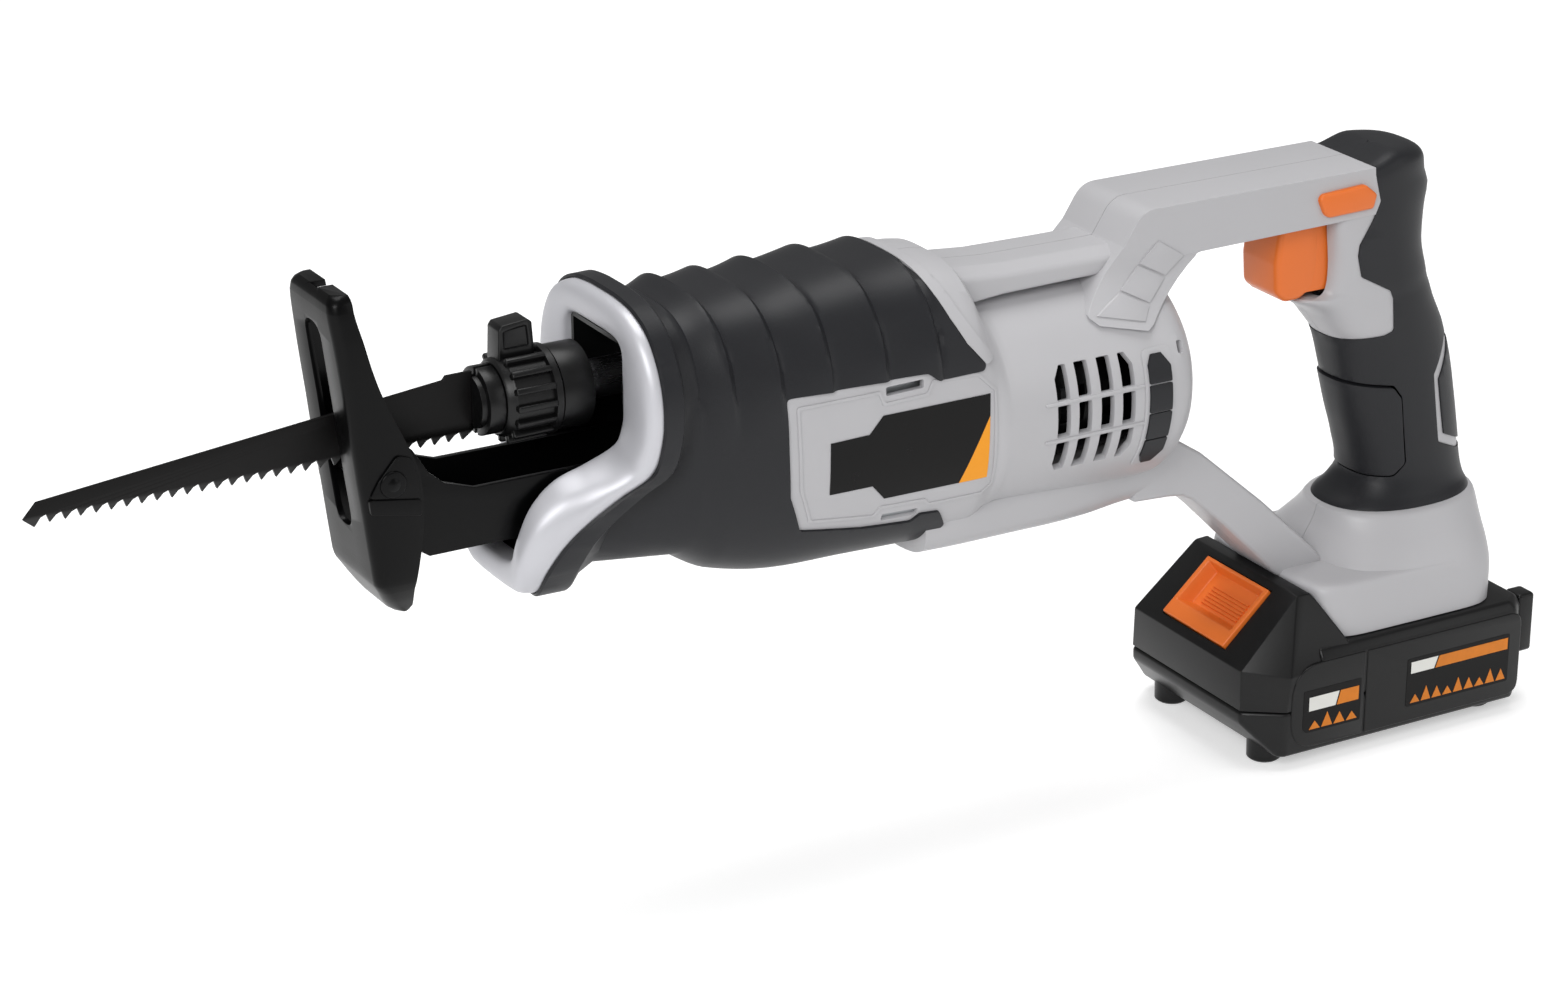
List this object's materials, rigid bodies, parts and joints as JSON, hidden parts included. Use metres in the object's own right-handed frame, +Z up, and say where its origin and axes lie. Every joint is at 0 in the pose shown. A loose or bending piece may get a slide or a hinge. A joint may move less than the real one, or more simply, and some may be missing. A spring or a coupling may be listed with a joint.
{
  "type": "reciprocating saw",
  "caption": "Cordless reciprocating saw with D-handle, tilting shoe, twist blade clamp, crank-driven plunger and slide-on battery pack.",
  "frame": {"origin": "on the floor plane under the middle of the overall length, on the centre plane", "axes": "+X from the blade tip to the grip, +Y to the right-hand side seen from behind, +Z up"},
  "size_m": [0.5268, 0.082, 0.2166],
  "materials": {
    "grey_plastic": "satin",
    "silver_bezel": "gloss",
    "charcoal_rubber": "matte",
    "black_plastic": "satin",
    "orange_plastic": "satin",
    "black_steel": "semi-gloss",
    "blade_steel": "satin",
    "bright_steel": "ground",
    "gear_steel": "machined",
    "cast_alloy": "cast",
    "bronze": "sintered",
    "copper": "bare",
    "magnet": "sintered",
    "carbon": "matte",
    "board_green": "satin",
    "wire_red": "satin",
    "cell_wrap": "gloss",
    "label_dark": "gloss"
  },
  "bodies": {
    "housing": {"housing_left": "grey_plastic", "housing_right": "grey_plastic", "nose_bezel": "silver_bezel", "front_boot": "charcoal_rubber", "side_bumpers": "charcoal_rubber", "grip_sleeve": "charcoal_rubber", "plunger_seal": "charcoal_rubber", "nose_guard": "black_plastic", "grip_back_insert": "black_plastic", "brush_holder": "black_plastic", "switch_body": "black_plastic", "speed_controller": "black_plastic", "terminal_block": "black_plastic", "shoe_bracket": "black_steel", "bracket_screws": "black_steel", "motor_can": "black_steel", "shoe_pivot_pins": "bright_steel", "housing_screws": "bright_steel", "gearcase_screws": "bright_steel", "gear_axle": "bright_steel", "thrust_washer": "bright_steel", "axle_clip": "bright_steel", "front_bearing": "bright_steel", "rear_bearing": "bright_steel", "gearcase_lower": "cast_alloy", "gearcase_upper": "cast_alloy", "plunger_front_bush": "bronze", "plunger_rear_bush": "bronze", "motor_magnets": "magnet", "motor_brushes": "carbon", "power_leads": "wire_red", "side_labels": "label_dark"},
    "plunger": {"plunger": "bright_steel", "clamp_pin": "bright_steel", "clamp_hub": "black_steel", "clamp_cap": "black_steel"},
    "clamp_collar": {"clamp_collar": "black_plastic"},
    "blade": {"saw_blade": "blade_steel"},
    "drive_gear": {"drive_gear": "gear_steel", "crank_pin": "gear_steel", "crank_roller": "gear_steel"},
    "rotor": {"rotor_shaft": "bright_steel", "armature": "magnet", "commutator": "copper", "cooling_fan": "black_plastic", "pinion": "gear_steel"},
    "shoe": {"shoe": "black_steel"},
    "trigger": {"trigger": "orange_plastic", "switch_plunger": "black_plastic", "trigger_spring": "bright_steel"},
    "lock_off_button": {"lock_off_button": "orange_plastic"},
    "pack": {"pack_upper_case": "black_plastic", "pack_lower_case": "black_plastic", "pack_rear_bumpers": "black_plastic", "pack_feet": "charcoal_rubber", "pack_cells": "cell_wrap", "pack_board": "board_green", "pack_contacts": "copper", "pack_screws": "bright_steel"},
    "pack_release_button": {"pack_release_button": "orange_plastic"}
  },
  "joints": [
    {"name": "plunger_stroke", "type": "slide", "parent": "housing", "child": "plunger", "axis": [-1, 0, 0], "range_m": [-0.011, 0.011]},
    {"name": "gear_spin", "type": "hinge", "parent": "housing", "child": "drive_gear", "pos_m": [-0.01765, 0, 0.15], "axis": [0, 0, 1], "range_deg": [-92, 92]},
    {"name": "rotor_spin", "type": "hinge", "parent": "housing", "child": "rotor", "pos_m": [0.04235, 0, 0.141], "axis": [1, 0, 0], "range_deg": [-405, 405]},
    {"name": "clamp_twist", "type": "hinge", "parent": "plunger", "child": "clamp_collar", "pos_m": [-0.10765, 0, 0.1713], "axis": [1, 0, 0], "range_deg": [0, 60], "stiffness_Nm_per_rad": 0.1, "springref_deg": -20.05},
    {"name": "blade_release", "type": "slide", "parent": "plunger", "child": "blade", "axis": [-1, 0, 0], "range_m": [0, 0.03]},
    {"name": "shoe_pivot", "type": "hinge", "parent": "housing", "child": "shoe", "pos_m": [-0.15765, 0, 0.158], "axis": [0, 1, 0], "range_deg": [-20, 20]},
    {"name": "trigger_pull", "type": "slide", "parent": "housing", "child": "trigger", "axis": [1, 0, 0], "range_m": [0, 0.006], "stiffness_N_per_m": 900, "springref_m": -0.003, "deforming": ["trigger_spring"]},
    {"name": "lock_off_slide", "type": "slide", "parent": "housing", "child": "lock_off_button", "axis": [0, 1, 0], "range_m": [-0.003, 0.003]},
    {"name": "pack_slide", "type": "slide", "parent": "housing", "child": "pack", "axis": [-1, 0, 0], "range_m": [0, 0.08]},
    {"name": "pack_release", "type": "slide", "parent": "pack", "child": "pack_release_button", "axis": [0.7001, 0, -0.7141], "range_m": [0, 0.003], "stiffness_N_per_m": 600, "springref_m": -0.003}
  ],
  "couplings": [
    {"joint": "gear_spin", "follows": "plunger_stroke", "rad_per_m": 142.8},
    {"joint": "rotor_spin", "follows": "plunger_stroke", "rad_per_m": -634.67}
  ]
}
